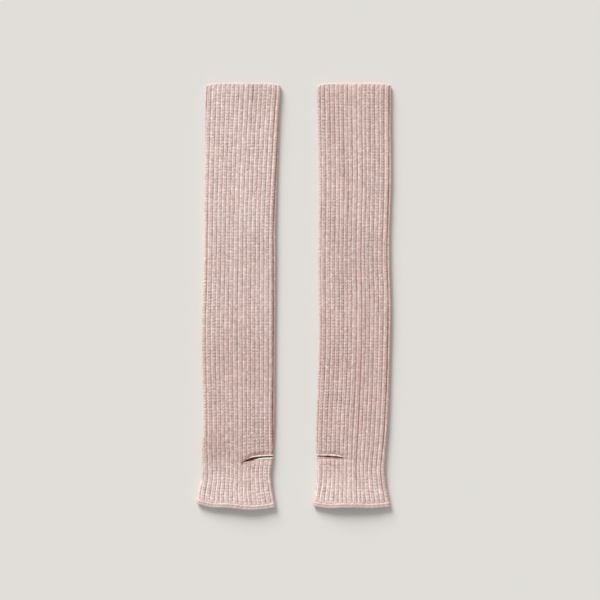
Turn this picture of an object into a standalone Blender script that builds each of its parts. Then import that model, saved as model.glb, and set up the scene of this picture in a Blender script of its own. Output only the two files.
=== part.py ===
"""A pair of ribbed knit leg warmers lying flat, each a knitted tube with a slit at the heel.

Metres, +Z up, +Y towards the upper edges. The undersides lie on z = 0, and the origin is the
middle of the pair on that plane.

A place on a tube is given by three numbers. turn counts ribs round the tube from the middle of
its upper layer, positive towards +X, so that a whole number is a valley between two ribs. down is
the distance from the upper edge along the leg. out is the distance outwards from the plain face
of the cloth, which the ribs stand on.
"""

import math
from collections import namedtuple

import bmesh
import bpy
from mathutils import Vector

# Knitted cloth
WALL = 0.0022
RIB_HEIGHT = 0.0014
RIB_FULLNESS = 2.5
RIBS_ROUND = 34
LAYER_GAP = 0.0012
SWELL_EDGE_POWER = 6
SEAM_GAP = 0.0004

# Section of a tube pressed flat. The ribs on each fold fade out towards the underside.
FOLD_RADIUS = WALL + LAYER_GAP / 2
FOLD_RIB = RIB_HEIGHT / 2
HALF_ROUND = RIBS_ROUND / 2
FLAT_RIBS = 7.75
FOLD_RIBS = HALF_ROUND - 2 * FLAT_RIBS
RIB_PITCH = 0.0062

# Where two faces of a mesh meet at more than this, the edge between them is sharp
SHARP_ANGLE = math.radians(50)

# Length of a leg warmer and of the edges knitted onto it
LENGTH = 0.5985
TOP_EDGE_TALL = 0.003
TOP_CORNER_DROP = 0.003
TOP_CORNER_POWER = 5
TOP_EASE = 0.030
HEM_DOWN = 0.596
HEM_TALL = 0.0074
HEM_EASE = 0.056

# Slit at the heel and the edge that binds it
SLIT_GAP = 0.0020
HEEL_EDGE_WIDE = 0.0022
HEEL_EDGE_THICK = 0.0024
HEEL_EDGE_RAISE = 0.0009
HEEL_EDGE_DEPTH = 0.0013
HEEL_EDGE_SIDES = 6
SLOT_HALF = SLIT_GAP / 2 + HEEL_EDGE_WIDE + SEAM_GAP
SLOT_START = 1.0
SLIT_EASE = 0.045
SLIT_DROOP_POWER = 2.5
SLIT_FADE = 2.0
TURN_BACK_STEPS = 4

# Columns of faces round a tube, in ribs
RIB_STEP = 0.25
EDGE_STEP = 0.5
UNDER_STEPS = 5

# Rows of faces down a tube, apart from the two along the slit
LEG_ROWS = (0.018, 0.055, 0.140, 0.235, 0.335, 0.425, 0.485, 0.546, 0.561, 0.575)

Outline = namedtuple("Outline", "down left right")
HemPoint = namedtuple("HemPoint", "across down")
Swell = namedtuple("Swell", "down across length spread height")
EdgePoint = namedtuple("EdgePoint", "down out")
Leg = namedtuple("Leg", "name opens slit_down slit_droop outline hem_line swells")

LEFT = Leg(
    name="left",
    opens=1,
    slit_down=0.5240,
    slit_droop=0.0073,
    outline=(
        Outline(down=0.000, left=-0.1232, right=-0.0184),
        Outline(down=0.011, left=-0.1239, right=-0.0179),
        Outline(down=0.039, left=-0.1244, right=-0.0196),
        Outline(down=0.137, left=-0.1256, right=-0.0236),
        Outline(down=0.207, left=-0.1262, right=-0.0258),
        Outline(down=0.249, left=-0.1267, right=-0.0255),
        Outline(down=0.361, left=-0.1296, right=-0.0263),
        Outline(down=0.473, left=-0.1271, right=-0.0271),
        Outline(down=0.508, left=-0.1285, right=-0.0276),
        Outline(down=0.528, left=-0.1286, right=-0.0286),
        Outline(down=0.543, left=-0.1284, right=-0.0309),
        Outline(down=0.557, left=-0.1294, right=-0.0309),
        Outline(down=0.568, left=-0.1320, right=-0.0297),
        Outline(down=0.580, left=-0.1342, right=-0.0280),
        Outline(down=0.600, left=-0.1366, right=-0.0246),
    ),
    hem_line=(
        HemPoint(across=-1.00, down=0.5896),
        HemPoint(across=-0.85, down=0.5919),
        HemPoint(across=-0.60, down=0.5946),
        HemPoint(across=-0.20, down=0.5950),
        HemPoint(across=0.33, down=0.5981),
        HemPoint(across=0.73, down=0.5970),
        HemPoint(across=1.00, down=0.5946),
    ),
    swells=(
        Swell(down=0.050, across=-0.15, length=0.070, spread=0.60, height=0.0007),
        Swell(down=0.190, across=0.25, length=0.080, spread=0.55, height=0.0006),
        Swell(down=0.330, across=-0.30, length=0.080, spread=0.50, height=0.0007),
        Swell(down=0.450, across=0.20, length=0.060, spread=0.60, height=0.0005),
        Swell(down=0.524, across=0.60, length=0.018, spread=0.55, height=-0.0006),
        Swell(down=0.598, across=0.05, length=0.036, spread=0.75, height=0.0030),
    ),
)

RIGHT = Leg(
    name="right",
    opens=-1,
    slit_down=0.5232,
    slit_droop=0.0029,
    outline=(
        Outline(down=0.000, left=0.0325, right=0.1366),
        Outline(down=0.011, left=0.0320, right=0.1366),
        Outline(down=0.039, left=0.0326, right=0.1365),
        Outline(down=0.137, left=0.0348, right=0.1369),
        Outline(down=0.207, left=0.0347, right=0.1353),
        Outline(down=0.249, left=0.0344, right=0.1351),
        Outline(down=0.305, left=0.0348, right=0.1366),
        Outline(down=0.361, left=0.0353, right=0.1363),
        Outline(down=0.473, left=0.0313, right=0.1328),
        Outline(down=0.508, left=0.0308, right=0.1305),
        Outline(down=0.528, left=0.0316, right=0.1290),
        Outline(down=0.543, left=0.0327, right=0.1283),
        Outline(down=0.557, left=0.0321, right=0.1296),
        Outline(down=0.568, left=0.0308, right=0.1308),
        Outline(down=0.580, left=0.0285, right=0.1331),
        Outline(down=0.600, left=0.0266, right=0.1364),
    ),
    hem_line=(
        HemPoint(across=-1.00, down=0.5930),
        HemPoint(across=-0.85, down=0.5942),
        HemPoint(across=-0.60, down=0.5955),
        HemPoint(across=-0.20, down=0.5948),
        HemPoint(across=0.15, down=0.5948),
        HemPoint(across=0.55, down=0.5957),
        HemPoint(across=1.00, down=0.5938),
    ),
    swells=(
        Swell(down=0.040, across=0.20, length=0.065, spread=0.60, height=0.0006),
        Swell(down=0.160, across=-0.25, length=0.080, spread=0.55, height=0.0007),
        Swell(down=0.290, across=0.25, length=0.085, spread=0.50, height=0.0006),
        Swell(down=0.430, across=-0.10, length=0.065, spread=0.60, height=0.0006),
        Swell(down=0.523, across=-0.60, length=0.018, spread=0.55, height=-0.0006),
        Swell(down=0.596, across=-0.05, length=0.036, spread=0.75, height=0.0042),
    ),
)

# Sections of the two edges, from the edge's upper side round its outer face to its inner face
TOP_EDGE = (
    EdgePoint(down=0.0030, out=0.0004),
    EdgePoint(down=0.0021, out=0.0011),
    EdgePoint(down=0.0009, out=0.0011),
    EdgePoint(down=0.0001, out=0.0003),
    EdgePoint(down=0.0000, out=-0.0010),
    EdgePoint(down=0.0006, out=-WALL),
    EdgePoint(down=0.0030, out=-WALL),
)
HEM_EDGE = (
    EdgePoint(down=0.0000, out=0.0005),
    EdgePoint(down=0.0012, out=0.0013),
    EdgePoint(down=0.0026, out=0.0012),
    EdgePoint(down=0.0036, out=0.0003),
    EdgePoint(down=0.0046, out=0.0012),
    EdgePoint(down=0.0062, out=0.0013),
    EdgePoint(down=0.0074, out=0.0002),
    EdgePoint(down=0.0074, out=-WALL),
    EdgePoint(down=0.0000, out=-WALL),
)

Finish = namedtuple("Finish", "name colour roughness")
RIB_KNIT = Finish(name="rib_knit", colour=(0.590, 0.448, 0.418), roughness=0.95)
EDGE_KNIT = Finish(name="edge_knit", colour=(0.640, 0.500, 0.468), roughness=0.95)
HEM_KNIT = Finish(name="hem_knit", colour=(0.620, 0.475, 0.446), roughness=0.95)


def clear_scene():
    for old in list(bpy.data.objects):
        bpy.data.objects.remove(old)


def smooth_step(share):
    """0 to 1 with level ends."""
    share = min(max(share, 0.0), 1.0)
    return share * share * (3 - 2 * share)


def smooth_curve(knots, at):
    """The value, at a place, of the smooth curve through (place, value) pairs given in order."""
    last = len(knots) - 1
    at = min(max(at, knots[0][0]), knots[last][0])
    upper = next(i for i in range(1, last + 1) if at <= knots[i][0])

    def slope(i):
        before = knots[max(i - 1, 0)]
        after = knots[min(i + 1, last)]
        return (after[1] - before[1]) / (after[0] - before[0])

    start, start_value = knots[upper - 1]
    end, end_value = knots[upper]
    step = end - start
    t = (at - start) / step
    return (
        (2 * t**3 - 3 * t**2 + 1) * start_value
        + (t**3 - 2 * t**2 + t) * step * slope(upper - 1)
        + (3 * t**2 - 2 * t**3) * end_value
        + (t**3 - t**2) * step * slope(upper)
    )


def middle_and_flat(leg, down):
    """The tube's middle line here, and how far its flat layers reach to each side of it."""
    left = smooth_curve([(row.down, row.left) for row in leg.outline], down)
    right = smooth_curve([(row.down, row.right) for row in leg.outline], down)
    return (left + right) / 2, (right - left) / 2 - FOLD_RADIUS - FOLD_RIB


def fold_angle(turn):
    """0 on the upper layer, pi on the under layer and between them on a fold."""
    return math.pi * min(max((abs(turn) - FLAT_RIBS) / FOLD_RIBS, 0.0), 1.0)


def raised_share(turn):
    """How much of the relief stands here: all on the upper layer, none on the underside."""
    return (1 + math.cos(fold_angle(turn))) / 2


def rib(turn):
    """Height of a rib over the plain face."""
    from_crest = abs(2 * (turn - math.floor(turn)) - 1)
    return RIB_HEIGHT * (1 - from_crest**RIB_FULLNESS) * raised_share(turn)


def lift(leg, across, down):
    """How far the upper layer stands off its lowest place, from its soft swells."""
    total = sum(
        swell.height
        * math.exp(
            -(((down - swell.down) / swell.length) ** 2)
            - ((across - swell.across) / swell.spread) ** 2
        )
        for swell in leg.swells
    )
    return total * (1 - across**SWELL_EDGE_POWER)


def slit_bend(leg, across):
    """How much lower than its outer end the slit's line is, which droops towards its inner end."""
    inner_end = SLOT_START / (HALF_ROUND / 2)
    from_inner = (across * leg.opens - inner_end) / (1 - inner_end)
    if from_inner >= 0:
        return leg.slit_droop * (1 - min(from_inner, 1.0)) ** SLIT_DROOP_POWER
    return leg.slit_droop * smooth_step(1 + SLIT_FADE * from_inner)


def bends(leg, across, down):
    """How much further down a point lies than its row, at the corners, the slit and the hem."""
    corner = TOP_CORNER_DROP * abs(across) ** TOP_CORNER_POWER * smooth_step(1 - down / TOP_EASE)
    slit = slit_bend(leg, across) * smooth_step(1 - abs(down - leg.slit_down) / SLIT_EASE)
    hem_here = smooth_curve(leg.hem_line, across) - HEM_DOWN
    hem = hem_here * smooth_step(1 - (HEM_DOWN - down) / HEM_EASE)
    return corner + slit + hem


def cloth_point(leg, turn, down, out):
    """The place of a point of the cloth."""
    middle, flat = middle_and_flat(leg, down)
    side = math.copysign(1, turn)
    angle = fold_angle(turn)
    flat_turns = min(abs(turn), HALF_ROUND - abs(turn), FLAT_RIBS)
    reach = flat * flat_turns / FLAT_RIBS
    across = side * (reach + math.sin(angle) * FOLD_RADIUS) / (flat + FOLD_RADIUS)
    x = middle + side * (reach + math.sin(angle) * (FOLD_RADIUS + out))
    z = FOLD_RADIUS + math.cos(angle) * (FOLD_RADIUS + out)
    z += lift(leg, across, down) * raised_share(turn)
    return Vector((x, LENGTH / 2 - down - bends(leg, across, down), z))


def columns(step):
    """The turns of the columns round a tube, finer on top and on the folds than underneath."""
    top_steps = round(2 * FLAT_RIBS / step)
    fold_steps = round(FOLD_RIBS / RIB_STEP)
    top = [-FLAT_RIBS + 2 * FLAT_RIBS * i / top_steps for i in range(top_steps + 1)]
    fold = [FLAT_RIBS + RIB_STEP * (i + 1) for i in range(fold_steps)]
    under_reach = HALF_ROUND - SLOT_START - fold[-1]
    under = [fold[-1] + under_reach * (i + 1) / UNDER_STEPS for i in range(UNDER_STEPS)]
    half = fold + under
    return [-turn for turn in reversed(half)] + top + half


def leg_rows(leg):
    """Distances down of a leg's rows, with the slit's two rows among them."""
    start = TOP_EDGE_TALL + SEAM_GAP
    end = HEM_DOWN - HEM_TALL - SEAM_GAP
    slit = (leg.slit_down - SLOT_HALF, leg.slit_down + SLOT_HALF)
    return sorted((start, end) + slit + LEG_ROWS)


def add_grid(work, grid, is_open=lambda row, column: False):
    """Faces between the rows of a grid of points, each row closed into a ring."""
    for row, (upper, lower) in enumerate(zip(grid, grid[1:])):
        for column in range(len(upper)):
            after = (column + 1) % len(upper)
            if not is_open(row, column):
                work.faces.new((upper[column], upper[after], lower[after], lower[column]))


def add_rim(work, outer, inner, loop):
    """Faces across the wall along a closed loop of (row, column) places."""
    for (row, column), (next_row, next_column) in zip(loop, loop[1:] + loop[:1]):
        work.faces.new(
            (
                outer[row][column],
                outer[next_row][next_column],
                inner[next_row][next_column],
                inner[row][column],
            )
        )


def finished_object(name, work, finish, collection):
    """An object from a closed mesh, smooth but for its sharp edges, with its own material."""
    bmesh.ops.recalc_face_normals(work, faces=work.faces)
    mesh = bpy.data.meshes.new(name)
    work.to_mesh(mesh)
    work.free()
    mesh.shade_smooth()
    mesh.set_sharp_from_angle(angle=SHARP_ANGLE)
    mesh.materials.append(knit_material(finish))
    made = bpy.data.objects.new(name, mesh)
    collection.objects.link(made)
    return made


def knit_material(finish):
    found = bpy.data.materials.get(finish.name)
    if found:
        return found
    material = bpy.data.materials.new(finish.name)
    material.use_nodes = True
    shader = material.node_tree.nodes["Principled BSDF"]
    shader.inputs["Base Color"].default_value = (*finish.colour, 1)
    shader.inputs["Roughness"].default_value = finish.roughness
    shader.inputs["Metallic"].default_value = 0
    return material


def ribbed_leg(leg, collection):
    """The knitted tube: ribs over a plain inside, with the heel slit cut through both layers."""
    work = bmesh.new()
    turns = columns(RIB_STEP)
    rows = leg_rows(leg)
    outer = [[work.verts.new(cloth_point(leg, t, down, rib(t))) for t in turns] for down in rows]
    inner = [[work.verts.new(cloth_point(leg, t, down, -WALL)) for t in turns] for down in rows]
    slit_row = rows.index(leg.slit_down - SLOT_HALF)
    in_slit = [i for i, t in enumerate(turns) if t * leg.opens > SLOT_START - RIB_STEP / 2]
    first, last = in_slit[0], in_slit[-1]

    def is_open(row, column):
        return row == slit_row and first <= column < last

    add_grid(work, outer, is_open)
    add_grid(work, inner, is_open)
    upper_lip = [(slit_row, column) for column in range(first, last + 1)]
    lower_lip = [(slit_row + 1, column) for column in range(last, first - 1, -1)]
    add_rim(work, outer, inner, upper_lip + lower_lip)
    for end_row in (0, len(rows) - 1):
        add_rim(work, outer, inner, [(end_row, column) for column in range(len(turns))])
    return finished_object(f"{leg.name}_leg", work, RIB_KNIT, collection)


def edge_ring(leg, name, section, start_down, finish, collection):
    """An edge knitted onto the end of a tube: its section carried all the way round."""
    work = bmesh.new()
    turns = columns(EDGE_STEP)
    grid = []
    for point in section:
        ring = []
        for turn in turns:
            out = point.out * raised_share(turn) if point.out > 0 else point.out
            ring.append(work.verts.new(cloth_point(leg, turn, start_down + point.down, out)))
        grid.append(ring)
    add_grid(work, grid + grid[:1])
    return finished_object(name, work, finish, collection)


def heel_path(leg):
    """(turn, down) places of the loop round the slit: out along the upper lip, round the fold,
    back along the under layer, and the same way home along the lower lip."""
    outer_reach = SLIT_GAP / 2 + HEEL_EDGE_WIDE + SEAM_GAP
    offset = (SLIT_GAP + HEEL_EDGE_WIDE) / 2
    start = SLOT_START + outer_reach / RIB_PITCH
    end = HALF_ROUND - start
    turns = [t for t in columns(2 * EDGE_STEP) if start + EDGE_STEP < t < end - EDGE_STEP]
    run = [start] + turns + [end]

    def turn_back(centre, way):
        angles = [math.pi * i / TURN_BACK_STEPS for i in range(1, TURN_BACK_STEPS)]
        return [
            (
                centre + way * offset * math.sin(angle) / RIB_PITCH,
                -way * offset * math.cos(angle),
            )
            for angle in angles
        ]

    loop = [(turn, -offset) for turn in run]
    loop += turn_back(end, 1)
    loop += [(turn, offset) for turn in reversed(run)]
    loop += turn_back(start, -1)
    return [(turn * leg.opens, leg.slit_down + down) for turn, down in loop]


def heel_edge(leg, collection):
    """The bound edge of the heel slit: a rounded cord of knitting led round both lips."""
    work = bmesh.new()
    path = heel_path(leg)
    grid = []
    for place, (turn, down) in enumerate(path):
        before = path[place - 1]
        after = path[(place + 1) % len(path)]
        along = Vector(((after[0] - before[0]) * RIB_PITCH, after[1] - before[1])).normalized()
        centre_out = HEEL_EDGE_RAISE * raised_share(turn) - HEEL_EDGE_DEPTH
        ring = []
        for i in range(HEEL_EDGE_SIDES):
            angle = 2 * math.pi * (i + 0.5) / HEEL_EDGE_SIDES
            side = HEEL_EDGE_WIDE / 2 * math.sin(angle)
            out = centre_out + HEEL_EDGE_THICK / 2 * math.cos(angle)
            side_turn = turn - side * along.y / RIB_PITCH
            ring.append(work.verts.new(cloth_point(leg, side_turn, down + side * along.x, out)))
        grid.append(ring)
    add_grid(work, grid + grid[:1])
    return finished_object(f"{leg.name}_heel_edge", work, EDGE_KNIT, collection)


def leg_warmer(leg, collection):
    hem_start = HEM_DOWN - HEM_TALL
    return [
        ribbed_leg(leg, collection),
        edge_ring(leg, f"{leg.name}_top_edge", TOP_EDGE, 0, EDGE_KNIT, collection),
        edge_ring(leg, f"{leg.name}_hem_welt", HEM_EDGE, hem_start, HEM_KNIT, collection),
        heel_edge(leg, collection),
    ]


def stand_on_origin(pieces, collection):
    """Hangs the pieces on an empty that puts the middle of the pair's box over the origin."""
    corners = [vertex.co for piece in pieces for vertex in piece.data.vertices]
    low = Vector([min(corner[i] for corner in corners) for i in range(3)])
    high = Vector([max(corner[i] for corner in corners) for i in range(3)])
    holder = bpy.data.objects.new("leg_warmers_origin", None)
    holder.location = (-(low.x + high.x) / 2, -(low.y + high.y) / 2, -low.z)
    collection.objects.link(holder)
    for piece in pieces:
        piece.parent = holder


def main():
    clear_scene()
    collection = bpy.data.collections.new("leg_warmers")
    bpy.context.scene.collection.children.link(collection)
    pieces = leg_warmer(LEFT, collection) + leg_warmer(RIGHT, collection)
    stand_on_origin(pieces, collection)


main()
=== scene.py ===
"""The knitted surface of a pair of ribbed leg warmers that lie flat, over their fixed solids.

A place on a tube is given by three numbers. turn counts ribs round the tube from the middle of
its upper layer, so that a whole number is a valley between two ribs. down is the distance from
the upper edge along the leg. out is the distance outwards from the plain face of the cloth.
"""

import math
from collections import namedtuple
from functools import partial

import bmesh
import bpy
import numpy as np
from bpy.props import FloatProperty, FloatVectorProperty, IntProperty, PointerProperty
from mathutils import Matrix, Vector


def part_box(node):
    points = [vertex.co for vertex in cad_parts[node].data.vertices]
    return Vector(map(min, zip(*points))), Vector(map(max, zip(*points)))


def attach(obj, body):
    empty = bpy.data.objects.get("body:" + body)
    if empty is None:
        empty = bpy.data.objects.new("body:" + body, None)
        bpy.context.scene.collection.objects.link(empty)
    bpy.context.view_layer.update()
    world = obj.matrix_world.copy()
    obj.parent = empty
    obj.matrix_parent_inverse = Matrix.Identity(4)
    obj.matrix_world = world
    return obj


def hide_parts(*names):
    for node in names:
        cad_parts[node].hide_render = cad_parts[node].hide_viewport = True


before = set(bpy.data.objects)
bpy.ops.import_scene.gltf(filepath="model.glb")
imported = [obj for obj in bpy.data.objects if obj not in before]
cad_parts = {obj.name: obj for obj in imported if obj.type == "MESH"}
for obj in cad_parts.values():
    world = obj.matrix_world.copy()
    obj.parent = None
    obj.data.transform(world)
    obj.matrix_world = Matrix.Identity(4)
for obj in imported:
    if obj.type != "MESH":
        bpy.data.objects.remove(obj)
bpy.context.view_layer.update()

bl_info = {
    "name": "Ribbed knit leg warmers",
    "version": (1, 0, 0),
    "blender": (4, 5, 0),
    "location": "View3D > Sidebar > Knitwear",
    "description": "Knits a pair of ribbed leg warmers over their fixed solids and lights them",
    "category": "Add Mesh",
}

# Section of a tube pressed flat, in metres and in ribs
RIBS_ROUND = 34
HALF_ROUND = RIBS_ROUND / 2
FLAT_RIBS = 7.75
FOLD_RIBS = HALF_ROUND - 2 * FLAT_RIBS
RIB_PITCH = 0.0062
LAYER_GAP = 0.0012
CLOTH_TALL = 0.007
SWELL_EDGE_POWER = 6

# Where the middle pair of ribs ends and the ribs by each fold spread, all in ribs
PAIR_EDGE = 1.1
PAIR_WIDE = 0.9
FOLD_STRETCH = 0.2
STRETCH_WIDE = 1.2
LEFT_SHOULDER = -7.7

# Length of a leg warmer and of the edges knitted onto it
LENGTH = 0.5985
TOP_EDGE_TALL = 0.003
TOP_CORNER_DROP = 0.003
TOP_CORNER_POWER = 5
TOP_EASE = 0.030
EDGE_LAP = 0.0007
HEM_DOWN = 0.596
HEM_TALL = 0.0074
HEM_EASE = 0.056

# Slit at the heel. The opening narrows to its ends.
SLOT_HALF = 0.0032
SLOT_END_HALF = 0.0009
SLOT_START = 1.0
SLOT_END = HALF_ROUND - SLOT_START
SLOT_TAPER = 2.5
SLOT_COURSES = 2
SLOT_PULL = 0.012
SLOT_MARGIN = 0.01
SLIT_EASE = 0.045
SLIT_DROOP_POWER = 2.5
SLIT_FADE = 2.0
# How far from the slit the painted shade on the tube's inside reaches
SLIT_SHADE_WIDE = 0.008

# Fineness of the knitted mesh. The fine columns reach just under each fold.
FINE_REACH = 9
FINE_STEPS = 8
UNDER_STEPS = 4
COURSE_ROWS = 4
INNER_EVERY = 4
INNER_COURSES = 3

# A stitch rises slowly along its length and dives steeply. LOBE_PEAK brings its top to 1.
LOBE_DIVE = 0.6
LOBE_PEAK = 0.347
LOBE_MEAN = 0.75

# The two strands of a rib, by their place across it, and the purl bumps in the valley beside it
Strand = namedtuple("Strand", "place width share")
STRANDS = (Strand(place=0.62, width=0.24, share=1.0), Strand(place=0.27, width=0.14, share=0.3))
STRAND_LEVEL = 0.85
PURL_SHARE = 0.4
PURL_LEVEL = 0.5
GROOVE_WIDE = 0.2
PRESSED_POWER = 2.2

# How far stitches, patches and whole ribs differ in height, and a valley wavers, in ribs
STITCH_EVEN = 0.75
STITCH_BY_STITCH = 0.45
STITCH_BY_PATCH = 0.3
RIDGE_BY_STITCH = 0.10
RIDGE_BY_RIB = 0.30
CREASE_EVEN = 0.8
CREASE_BY_STITCH = 0.25
RIB_WAVER = 0.025
PAIR_CALM = 0.5

# How low the ribs start at a lip of the slit, the hem and the upper edge, and for how many courses
FREE_COURSES = 2
LIP_LOW = 0.45
LIP_COURSES = 1.6
HEM_LOW = 0.6
TOP_LOW = 0.85
TOP_COURSES = 3

# How far down its flanks a rib keeps its crest's colour before the painted shade of the valley begins, and
# how pale the topmost courses are
FLANK_PALE = 1.5
FILLED_BY_RIB = 2
TOP_PALE = 0.5
TOP_PALE_COURSES = 1.5
UNDERSIDE_TONE = 0.85

# Cast-off edge, whose yarn is painted paler on top and in shade on its walls, underneath and at its join to
# the leg
EDGE_STEPS = 16
EDGE_SIDES = 16
EDGE_SWELL = 0.14
EDGE_SQUARE_DOWN = 0.75
EDGE_SQUARE_OUT = 0.6
EDGE_DEPTH = 0.0009
EDGE_UNDER_DEPTH = 0.0012
EDGE_UNDER_HALF = 0.0011
EDGE_TONE = 0.5
EDGE_BY_STITCH = 0.4
EDGE_SIDE_TONE = 0.45
EDGE_LEG_TONE = 0.35
EDGE_TOP_TONE = 1.8
EDGE_LOW_TONE = 0.22
EDGE_LEG_STEEP = 1.5
EDGE_JOIN_SHADE = 0.5

# Hem welt
Ridge = namedtuple("Ridge", "down width share")
UPPER_RIDGE = Ridge(down=0.0020, width=0.0018, share=0.9)
LOWER_RIDGE = Ridge(down=0.0056, width=0.0024, share=1)
WELT_GROOVE = Ridge(down=0.0038, width=0.0010, share=1)
WELT_STEPS = 12
WELT_ROWS = 19
WELT_ROUND = 0.0004
WELT_EDGE_OUT = -0.0009
WELT_HEIGHT = 0.0017
WELT_SINK = 0.0001
WELT_STITCH = 0.00025
WELT_BROKEN = 0.0003
WELT_ZIGZAG = 0.0002
WELT_RIB_WIDE = 0.45
WELT_LEVEL = 0.7
# Painted shade of the welt's yarn, which is paler where it stands high and darker where it lies low and in
# its groove
WELT_TONE = 0.45
WELT_TONE_HEIGHT = 0.0045
WELT_TONE_STITCH = 0.15
WELT_UNDER_TONE = 0.7
WELT_RIM = 0.0065
WELT_RIM_TONE = 0.8
WELT_GROOVE_SHADE = 0.35
WELT_GRAIN = 0.25

# Cord that binds the heel slit
CORD_SIDES = 12
CORD_STEP = 0.00055
CORD_LAP = 0.0003
CORD_RAISE = 0.0009
CORD_DEPTH = 0.0013
CORD_HEIGHT = 0.00115
CORD_FULL_HALF = 0.0011
CORD_SQUARE = 0.8
CORD_SWELL = 0.15
CORD_TONE = 0.5
CORD_TONE_HEIGHT = 0.0012
LIP_FADE = 2
GAP_MOST = 0.55
GAP_STEEP = 1.6
GAP_START = 0.4
INWARD_START = 0.2

# Scales of the noise in the yarn and the floor
WOBBLE_GRAIN = 420
FUZZ_GRAIN = 2600
FLECK_GRAIN = 340
BLUSH_GRAIN = 260
CLOUD_GRAIN = 16
FLOOR_GRAIN = 300

# Plies of the yarn, which turn so often in a stitch, and what makes up its tone, with the painted highlight
# on each rib's left strand and the painted shade of the slit and of the rungs
PLY_TURNS = 4.0
PLY_SLANT = 3.0
PLY_WOBBLE = 0.9
PLY_TONE = 0.02
PLY_BUMP = 0.35
CLOUD_TONE = 0.10
EDGE_EVENNESS = 0.5
BLUSH_STEEP = 4.0
BLUSH_START = 1.5
HIGHLIGHT_STRAND = 0.19
HIGHLIGHT_STEEP = 5.5
HIGHLIGHT_BY_STRAND = 0.9
PALE_BY_BLUSH = 0.4
HOLLOW_STEEP = 1.2
RUNG_POWER = 2.5
RUNG_LEFT_STEEP = 2.2
RUNG_EVEN = 0.2

FLOOR_SIZE = 6
FLOOR_BELOW = 0.0002
GRAIN_SHADE = 0.99

Pair = namedtuple("Pair", "left right")
Rows = namedtuple("Rows", "courses slot start end")
Leg = namedtuple(
    "Leg",
    "name opens slit_down slit_droop stretched dark_lip gap_dark filled varied pair"
    " outline hem_line swells creases twists tones shades lips",
)


def table(columns, *rows):
    """A short table: its rows as named tuples, with these names for the columns."""
    row = namedtuple("Row", columns)
    return tuple(row(*values) for values in rows)


LEFT = Leg(
    name="left",
    opens=1,
    slit_down=0.5240,
    slit_droop=0.0073,
    outline=table(
        "down left right",
        (0.000, -0.1232, -0.0184),
        (0.011, -0.1239, -0.0179),
        (0.039, -0.1244, -0.0196),
        (0.137, -0.1256, -0.0236),
        (0.207, -0.1262, -0.0258),
        (0.249, -0.1267, -0.0255),
        (0.361, -0.1296, -0.0263),
        (0.473, -0.1271, -0.0271),
        (0.508, -0.1285, -0.0276),
        (0.528, -0.1286, -0.0286),
        (0.543, -0.1284, -0.0309),
        (0.557, -0.1294, -0.0309),
        (0.568, -0.1320, -0.0297),
        (0.580, -0.1342, -0.0280),
        (0.600, -0.1366, -0.0246),
    ),
    hem_line=table(
        "across down",
        (-1.00, 0.5896),
        (-0.85, 0.5919),
        (-0.60, 0.5946),
        (-0.20, 0.5950),
        (0.33, 0.5981),
        (0.73, 0.5970),
        (1.00, 0.5946),
    ),
    swells=table(
        "down across length spread height",
        (0.050, -0.15, 0.070, 0.60, 0.0007),
        (0.190, 0.25, 0.080, 0.55, 0.0006),
        (0.330, -0.30, 0.080, 0.50, 0.0007),
        (0.450, 0.20, 0.060, 0.60, 0.0005),
        (0.524, 0.60, 0.018, 0.55, -0.0006),
        (0.598, 0.05, 0.036, 0.75, 0.0030),
    ),
    stretched=8,
    # Creases, whose dark column paints shade into them as well as their depth
    creases=table(
        "turn width down length depth dark",
        (7.85, 0.22, 0.30, 0.60, 0.0010, 0.75),
        (-8.00, 0.20, 0.00, 0.075, 0.0009, 0.90),
        (1.00, 0.20, 0.010, 0.022, 0.0004, 0.35),
        (2.00, 0.20, 0.014, 0.026, 0.0004, 0.40),
        (7.00, 0.20, 0.030, 0.080, 0.0005, 0.40),
    ),
    # Painted shade in the slit: the lower lip is shaded up to this turn, and the gap's yarn is painted this
    # dark.
    dark_lip=5.5,
    gap_dark=0.70,
    filled=0.15,
    varied=0.4,
    pair=Pair(left=0.06, right=0.12),
    twists=table(
        "down ribs",
        (0.000, 0.24),
        (0.045, 0.14),
        (0.095, -0.01),
        (0.130, -0.09),
        (0.190, -0.21),
        (0.250, -0.26),
        (0.310, -0.20),
        (0.380, -0.12),
        (0.480, -0.13),
        (0.515, 0.11),
        (0.550, 0.30),
        (0.600, 0.55),
    ),
    tones=table(
        "down share",
        (0.000, 1.00),
        (0.020, 0.94),
        (0.100, 0.95),
        (0.200, 0.92),
        (0.250, 0.86),
        (0.300, 0.87),
        (0.340, 0.81),
        (0.385, 0.75),
        (0.430, 0.77),
        (0.475, 0.76),
        (0.510, 0.70),
        (0.550, 0.90),
        (0.580, 1.00),
        (0.600, 1.00),
    ),
    # Soft darker spots: the third is a dark spot at the slit's inner end, and the last two paint the shade
    # below its lower lip and above its upper lip.
    shades=table(
        "down across length spread level",
        (0.016, 0.50, 0.022, 0.38, -0.13),
        (0.515, -0.65, 0.020, 0.35, -0.12),
        (0.526, 0.16, 0.003, 0.06, -0.75),
        (0.528, 0.32, 0.004, 0.15, -0.35),
        (0.5185, 0.60, 0.003, 0.42, -0.45),
    ),
    lips=table(
        "turn gap upper lower",
        (1.0, 0.0001, 0.0001, -0.0006),
        (1.6, 0.0006, 0.0002, -0.0008),
        (2.2, 0.0024, 0.0003, -0.0013),
        (3.4, 0.0028, 0.0004, -0.0012),
        (4.3, 0.0022, 0.0004, 0.0001),
        (5.5, 0.0016, 0.0003, 0.0005),
        (8.5, 0.0012, 0.0003, 0.0004),
        (9.5, 0, 0, 0),
        (16.0, 0, 0, 0),
    ),
)

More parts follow.
